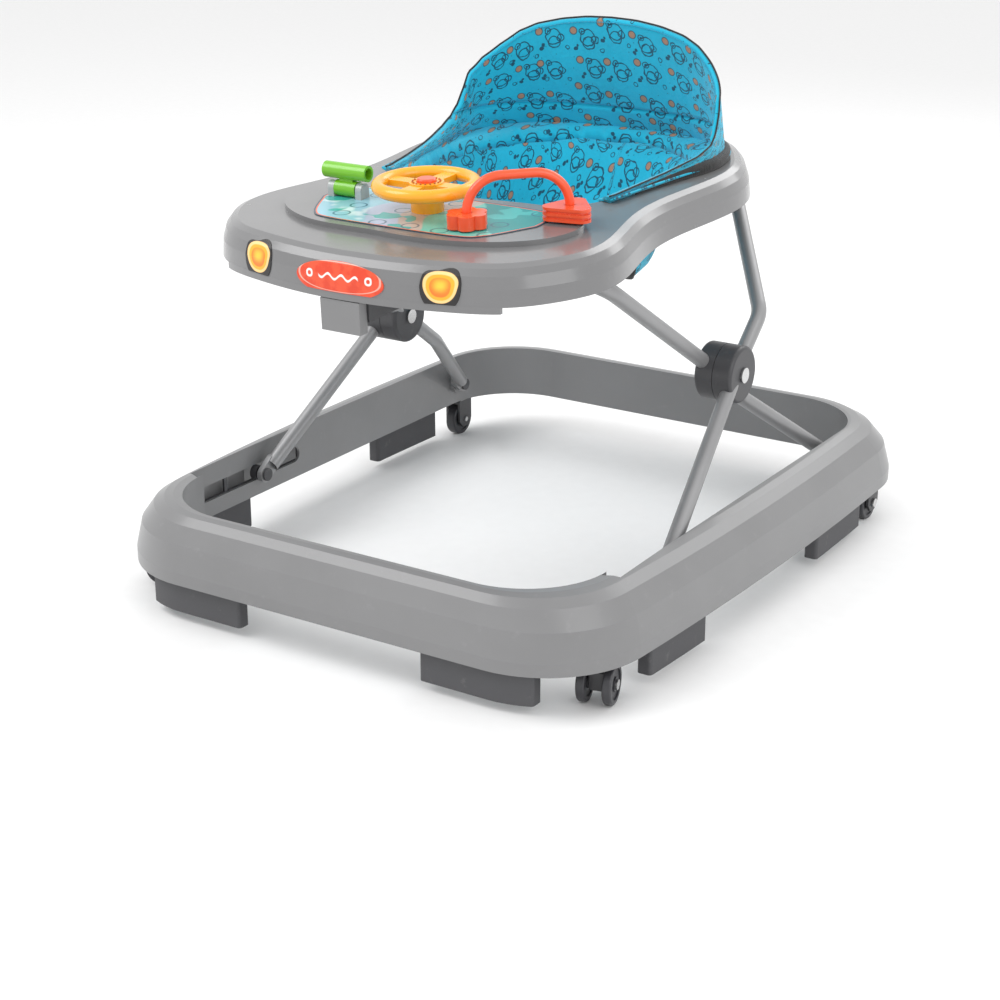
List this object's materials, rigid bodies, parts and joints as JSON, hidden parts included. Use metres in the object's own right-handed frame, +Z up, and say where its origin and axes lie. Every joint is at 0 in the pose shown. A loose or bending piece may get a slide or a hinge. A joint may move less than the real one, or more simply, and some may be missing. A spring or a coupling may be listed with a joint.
{
  "type": "baby walker",
  "caption": "Folding baby walker: grey ring base on casters, scissor tube frame, play tray with toys and a turquoise fabric seat.",
  "frame": {"origin": "centre of the base's footprint on the floor", "axes": "+X right as seen from the front, -Y the front with the headlights, +Z up"},
  "size_m": [0.605, 0.744, 0.549],
  "materials": {
    "shell_grey": "satin",
    "tray_grey": "gloss",
    "dark_plastic": "satin",
    "pad_rubber": "matte",
    "wheel_plastic": "satin",
    "steel": "satin",
    "tube_silver": "satin",
    "labels": "gloss",
    "clear_grey": "gloss",
    "green": "gloss",
    "yellow": "gloss",
    "orange": "gloss",
    "fabric_blue": "matte",
    "binding_black": "matte"
  },
  "bodies": {
    "base": {"base_ring": "shell_grey", "leg_pin_left": "dark_plastic", "leg_pin_right": "dark_plastic", "pad_front_left": "pad_rubber", "pad_front_right": "pad_rubber", "pad_side_front_left": "pad_rubber", "pad_side_front_right": "pad_rubber", "pad_side_rear_left": "pad_rubber", "pad_side_rear_right": "pad_rubber", "rear_axle_left": "steel", "rear_axle_right": "steel", "rear_bracket_left": "dark_plastic", "rear_bracket_right": "dark_plastic", "slot_guide_left": "dark_plastic", "slot_guide_right": "dark_plastic"},
    "rear_wheel_left": {"rear_wheel_left": "wheel_plastic"},
    "rear_wheel_right": {"rear_wheel_right": "wheel_plastic"},
    "caster_left": {"caster_fork_left": "dark_plastic", "caster_axle_left": "steel"},
    "caster_right": {"caster_fork_right": "dark_plastic", "caster_axle_right": "steel"},
    "caster_wheels_left": {"caster_wheels_left": "wheel_plastic"},
    "caster_wheels_right": {"caster_wheels_right": "wheel_plastic"},
    "front_frame": {"front_frame_tube": "tube_silver", "hub_inner_left": "dark_plastic", "hub_inner_right": "dark_plastic", "hub_rivet_left": "steel", "hub_rivet_right": "steel"},
    "rear_frame": {"hub_outer_left": "dark_plastic", "hub_outer_right": "dark_plastic", "rear_frame_tube": "tube_silver", "slot_glide_left": "dark_plastic", "slot_glide_right": "dark_plastic"},
    "tray": {"arch_handle": "orange", "dash_print": "labels", "front_badge": "labels", "headlight_left": "labels", "headlight_right": "labels", "height_track": "dark_plastic", "lever_axle": "clear_grey", "pivot_clip_left": "dark_plastic", "pivot_clip_right": "dark_plastic", "seat_backrest": "fabric_blue", "seat_rim": "binding_black", "seat_sling": "fabric_blue", "steering_post": "yellow", "tray_shell": "tray_grey"},
    "adjust_handle": {"adjust_handle": "tray_grey"},
    "steering_wheel": {"steering_wheel": "yellow"},
    "horn_button": {"horn_button": "orange"},
    "green_lever": {"green_lever": "green"},
    "flower_bead": {"flower_bead": "orange"},
    "triangle_bead": {"triangle_bead": "orange"}
  },
  "joints": [
    {"name": "rear_wheel_left_spin", "type": "hinge", "parent": "base", "child": "rear_wheel_left", "pos_m": [-0.276, 0.275, 0.02], "axis": [1, 0, 0], "continuous": true},
    {"name": "rear_wheel_right_spin", "type": "hinge", "parent": "base", "child": "rear_wheel_right", "pos_m": [0.276, 0.275, 0.02], "axis": [1, 0, 0], "continuous": true},
    {"name": "caster_left_swivel", "type": "hinge", "parent": "base", "child": "caster_left", "pos_m": [-0.256, -0.281, 0.05], "axis": [0, 0, 1], "continuous": true},
    {"name": "caster_left_roll", "type": "hinge", "parent": "caster_left", "child": "caster_wheels_left", "pos_m": [-0.26747, -0.28903, 0.02], "axis": [-0.5736, 0.8192, 0], "continuous": true},
    {"name": "caster_right_swivel", "type": "hinge", "parent": "base", "child": "caster_right", "pos_m": [0.256, -0.281, 0.05], "axis": [0, 0, 1], "continuous": true},
    {"name": "caster_right_roll", "type": "hinge", "parent": "caster_right", "child": "caster_wheels_right", "pos_m": [0.25939, -0.29458, 0.02], "axis": [-0.9703, -0.2419, 0], "continuous": true},
    {"name": "fold", "type": "hinge", "parent": "base", "child": "front_frame", "pos_m": [0, 0.24016, 0.07893], "axis": [1, 0, 0], "range_deg": [-3, 31]},
    {"name": "hub_pivot", "type": "hinge", "parent": "front_frame", "child": "rear_frame", "pos_m": [0, 0.046, 0.22], "axis": [1, 0, 0], "range_deg": [-62.5, 6.5]},
    {"name": "tray_pivot", "type": "hinge", "parent": "rear_frame", "child": "tray", "pos_m": [0, 0.23246, 0.37426], "axis": [1, 0, 0], "range_deg": [-3.5, 31.5]},
    {"name": "adjust_handle_pull", "type": "slide", "parent": "tray", "child": "adjust_handle", "axis": [0, -0.9986, -0.0523], "range_m": [0, 0.012], "stiffness_N_per_m": 400},
    {"name": "steering_turn", "type": "hinge", "parent": "tray", "child": "steering_wheel", "pos_m": [0, -0.1873, 0.43237], "axis": [0, -0.0523, 0.9986], "continuous": true},
    {"name": "horn_press", "type": "slide", "parent": "steering_wheel", "child": "horn_button", "axis": [0, 0.0523, -0.9986], "range_m": [0, 0.003], "stiffness_N_per_m": 300},
    {"name": "green_lever_tilt", "type": "hinge", "parent": "tray", "child": "green_lever", "pos_m": [-0.099, -0.17942, 0.41576], "axis": [1, 0, 0], "range_deg": [-55, 55]},
    {"name": "flower_bead_spin", "type": "hinge", "parent": "tray", "child": "flower_bead", "pos_m": [0.068, -0.22036, 0.41361], "axis": [0, -0.0523, 0.9986], "continuous": true},
    {"name": "triangle_bead_spin", "type": "hinge", "parent": "tray", "child": "triangle_bead", "pos_m": [0.139, -0.15345, 0.41712], "axis": [0, -0.0523, 0.9986], "continuous": true}
  ],
  "couplings": [
    {"joint": "hub_pivot", "follows": "fold", "ratio": -2},
    {"joint": "tray_pivot", "follows": "fold", "ratio": 1}
  ]
}
